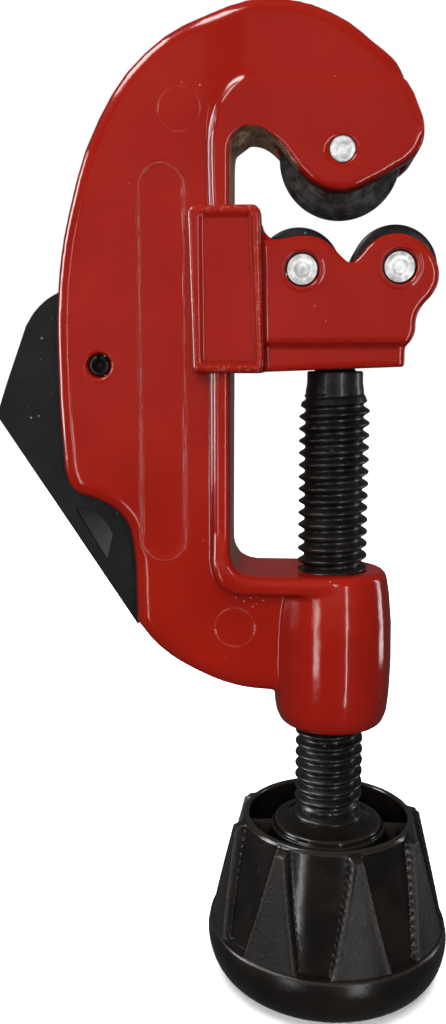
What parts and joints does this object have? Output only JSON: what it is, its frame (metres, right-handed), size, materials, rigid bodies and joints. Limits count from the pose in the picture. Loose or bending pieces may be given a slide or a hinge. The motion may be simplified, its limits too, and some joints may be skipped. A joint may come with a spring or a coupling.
{
  "type": "pipe cutter",
  "caption": "Hand pipe cutter: cast C-frame with a cutter wheel in its hook, a roller slide moved by a feed screw and ribbed knob, and a fold-out reamer blade.",
  "frame": {"origin": "the centre of the knob's flat base, on the feed screw's axis", "axes": "+Z along the feed screw from the knob up to the cutter wheel, +X towards the open side of the C-frame, and Y across the frame, whose middle plane is Y = 0"},
  "size_m": [0.0768, 0.042, 0.1602],
  "materials": {
    "red_enamel": "gloss red enamel over a zinc casting",
    "black_oxide_steel": "black oxide, lightly oiled",
    "bright_steel": "bright, bare steel",
    "hard_steel": "ground and darkened hardened steel",
    "black_plastic": "moulded black plastic, satin in the flutes and grained on the lands"
  },
  "bodies": {
    "frame": {"frame": "red_enamel", "wheel_pin": "bright_steel", "wheel_pin_clip": "hard_steel", "reamer_spring_pin": "black_oxide_steel", "reamer_spring_washer": "bright_steel"},
    "slide": {"slide": "red_enamel", "roller_pin_left": "bright_steel", "roller_pin_right": "bright_steel"},
    "screw": {"feed_screw": "black_oxide_steel", "knob": "black_plastic", "knob_end_cap": "black_plastic", "knob_fixing_screw": "bright_steel", "knob_fixing_washer": "bright_steel", "spare_cutter_wheel": "hard_steel", "retaining_clip": "bright_steel", "thrust_washer": "bright_steel"},
    "cutter_wheel": {"cutter_wheel": "hard_steel"},
    "roller_left": {"roller_left": "black_oxide_steel"},
    "roller_right": {"roller_right": "black_oxide_steel"},
    "reamer": {"reamer_blade": "black_oxide_steel"}
  },
  "joints": [
    {"name": "slide_travel", "type": "slide", "parent": "frame", "child": "slide", "axis": [0, 0, 1], "range_m": [-0.0256, 0.002]},
    {"name": "screw_turn", "type": "hinge", "parent": "slide", "child": "screw", "pos_m": [0, 0, 0.06], "axis": [0, 0, 1], "range_deg": [-4620, 362]},
    {"name": "wheel_spin", "type": "hinge", "parent": "frame", "child": "cutter_wheel", "pos_m": [0.0002, 0, 0.1376], "axis": [0, 1, 0], "continuous": true},
    {"name": "roller_left_spin", "type": "hinge", "parent": "slide", "child": "roller_left", "pos_m": [-0.0063, 0, 0.1198], "axis": [0, 1, 0], "continuous": true},
    {"name": "roller_right_spin", "type": "hinge", "parent": "slide", "child": "roller_right", "pos_m": [0.00855, 0, 0.1201], "axis": [0, 1, 0], "continuous": true},
    {"name": "reamer_swing", "type": "hinge", "parent": "frame", "child": "reamer", "pos_m": [-0.0381, 0, 0.1052], "axis": [0, 1, 0], "range_deg": [0, 125]}
  ],
  "couplings": [
    {"joint": "screw_turn", "follows": "slide_travel", "rad_per_m": 3141.6}
  ]
}
